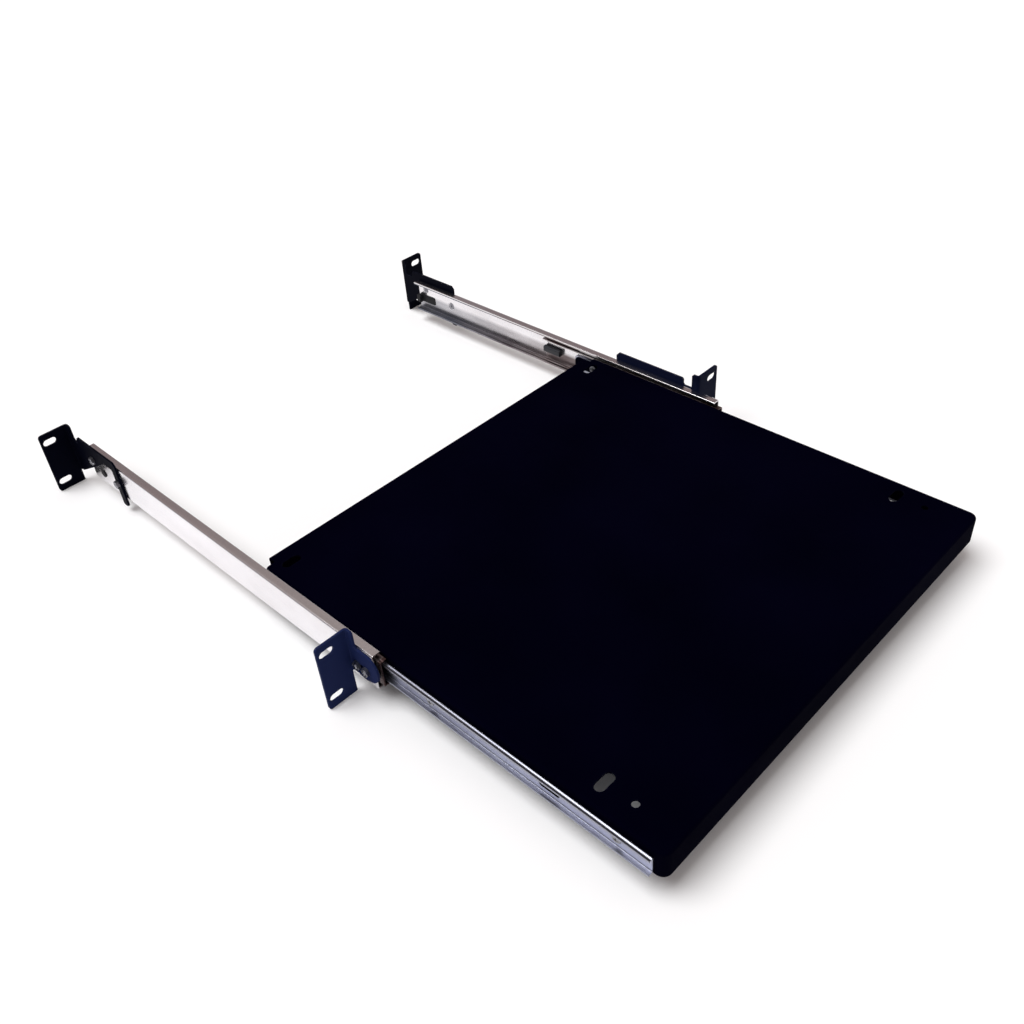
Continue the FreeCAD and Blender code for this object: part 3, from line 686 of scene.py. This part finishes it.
def pockets(side):
    """Cutter for the round pockets in an outer rail that the flat screw heads lie in."""
    rim = [(-POCKET_MARGIN, POCKET_RADIUS), (POCKET_DEPTH, POCKET_RADIUS)]
    pocket = lathe([(-POCKET_MARGIN, 0)] + rim + [(POCKET_DEPTH, 0)])
    places = at_places(near_face("bracket_screws_" + side), BRACKET_SCREWS[side])
    return grouped("pockets", [to_mesh(pocket, "pocket")], places, side)


def ball_places(node):
    """Centres of a cage's balls on the right-hand side, from the box of the node that holds them."""
    low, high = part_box(node)
    radius = (high.x - low.x) / 2
    middle = (low + high) / 2
    rows = (high.z - radius, low.z + radius)
    steps = [BALL_PITCH * (index - (CAGE_BALLS - 1) / 2) for index in range(CAGE_BALLS)]
    return [Vector((abs(middle.x), middle.y + step, z)) for step in steps for z in rows]


def build_fasteners(side):
    """Screws and nuts of one side."""
    screws = "bracket_screws_" + side
    parts = flat_screw(depth_across(screws))
    places = at_places(near_face(screws), BRACKET_SCREWS[side])
    set_out("flat_screws_" + side, parts, places, side, "frame", "screw_steel", screws)
    nuts = "bracket_nuts_" + side
    parts = hexagon_nut(depth_across(nuts))
    places = at_places(near_face(nuts), BRACKET_SCREWS[side])
    set_out("hexagon_nuts_" + side, parts, places, side, "frame", "screw_steel", nuts)
    screws = "tray_screws_" + side
    parts = pan_screw(depth_across(screws) - PAN_HEAD)
    seat = near_face(screws) + depth_across(screws) - PAN_HEAD
    set_out("pan_screws_" + side, parts, at_places(seat, TRAY_SCREWS), side, "tray", "screw_steel", screws)
    nuts = "tray_nuts_" + side
    parts = clinch_nut(depth_across(nuts))
    places = at_places(near_face(nuts), TRAY_SCREWS)
    set_out("clinch_nuts_" + side, parts, places, side, "tray", "screw_steel", nuts)


def build_balls(side):
    """Polished balls in both cages of one side."""
    for stage in ("outer", "inner"):
        node = stage + "_balls_" + side
        parts = polished_ball(depth_across(node) / 2)
        body = stage + "_cage_" + side
        set_out(stage + "_polished_balls_" + side, parts, ball_places(node), side, body, "ball_steel", node)


def build_sheets(side):
    """Rails, brackets and stops of one side with broken edges."""
    eased("outer_rail_" + side, RAIL_EASE, "frame", "rail_steel", cutter=pockets(side))
    eased("middle_rail_" + side, RAIL_EASE, "middle_" + side, "rail_steel", "greased_steel")
    eased("inner_rail_" + side, RAIL_EASE, "tray", "rail_steel", "shaded_blued_steel")
    eased("front_bracket_" + side, SHEET_EASE, "frame", "bracket_paint")
    eased("rear_bracket_" + side, SHEET_EASE, "frame", "bracket_paint")
    eased("rear_bumper_" + side, MOULDED_EASE / 2, "frame", "bumper_rubber")
    eased("middle_stop_" + side, MOULDED_EASE, "middle_" + side, "stop_plastic")


def finish_nodes():
    """Give every CAD node the finish of its slot."""
    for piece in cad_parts.values():
        for place in piece.material_slots:
            slot = place.material.name.split(".")[0]
            place.material = MATERIALS[slot]


def add_lamp(name, source, strength, angle, colour):
    """Soft distant lamp."""
    lamp = bpy.data.lights.new(name, "SUN")
    lamp.energy = strength
    lamp.angle = angle
    lamp.color = colour
    holder = bpy.data.objects.new(name, lamp)
    holder.rotation_euler = source.to_track_quat("Z", "Y").to_euler()
    bpy.context.scene.collection.objects.link(holder)


def add_room():
    """World in soft bands from the horizon to the ceiling."""
    world = bpy.data.worlds.new("room")
    world.use_nodes = True
    tree = world.node_tree
    direction = tree.nodes.new("ShaderNodeTexCoord")
    parts = tree.nodes.new("ShaderNodeSeparateXYZ")
    ramp = tree.nodes.new("ShaderNodeValToRGB")
    for sine, _ in ROOM_BANDS[1:-1]:
        ramp.color_ramp.elements.new(sine)
    for band, (sine, colour) in zip(ramp.color_ramp.elements, ROOM_BANDS):
        band.position = sine
        band.color = (*colour, 1)
    tree.links.new(direction.outputs["Generated"], parts.inputs["Vector"])
    tree.links.new(parts.outputs["Z"], ramp.inputs["Fac"])
    tree.links.new(ramp.outputs["Color"], tree.nodes["Background"].inputs["Color"])
    bpy.context.scene.world = world


def add_floor():
    """White floor at the height of the lowest ears."""
    mesh = bpy.data.meshes.new("floor")
    half = FLOOR_SIZE / 2
    low = CAD_BOX[0][2]
    corners = [(-half, -half, low), (half, -half, low), (half, half, low), (-half, half, low)]
    mesh.from_pydata(corners, [], [(0, 1, 2, 3)])
    mesh.materials.append(floor_white("floor_white"))
    floor = bpy.data.objects.new("floor", mesh)
    bpy.context.scene.collection.objects.link(floor)


def add_camera():
    """Camera at the photograph's place and angle."""
    cosine = math.cos(CAMERA_ELEVATION)
    back = Vector((
        math.sin(CAMERA_AZIMUTH) * cosine, -math.cos(CAMERA_AZIMUTH) * cosine, math.sin(CAMERA_ELEVATION)))
    level_right = Vector((0, 0, 1)).cross(back).normalized()
    level_up = back.cross(level_right)
    right = level_right * math.cos(CAMERA_ROLL) - level_up * math.sin(CAMERA_ROLL)
    up = level_up * math.cos(CAMERA_ROLL) + level_right * math.sin(CAMERA_ROLL)
    camera = bpy.data.objects.new("camera", bpy.data.cameras.new("camera"))
    camera.data.sensor_width = SENSOR_WIDTH
    camera.data.lens = FOCAL_PIXELS / PICTURE_PIXELS * SENSOR_WIDTH
    camera.matrix_world = Matrix.Translation(CAMERA_PLACE) @ Matrix((right, up, back)).transposed().to_4x4()
    bpy.context.scene.collection.objects.link(camera)
    bpy.context.scene.camera = camera


MATERIALS = make_materials()
finish_nodes()
eased("tray", SHEET_EASE, "tray", "tray_paint")
for side_name in SIDES:
    build_sheets(side_name)
    build_fasteners(side_name)
    build_balls(side_name)

add_floor()
add_room()
add_lamp("key", KEY_FROM, KEY_STRENGTH, KEY_ANGLE, KEY_COLOUR)
add_lamp("fill", FILL_FROM, FILL_STRENGTH, FILL_ANGLE, FILL_COLOUR)
add_camera()
bpy.context.scene.view_settings.view_transform = "Standard"
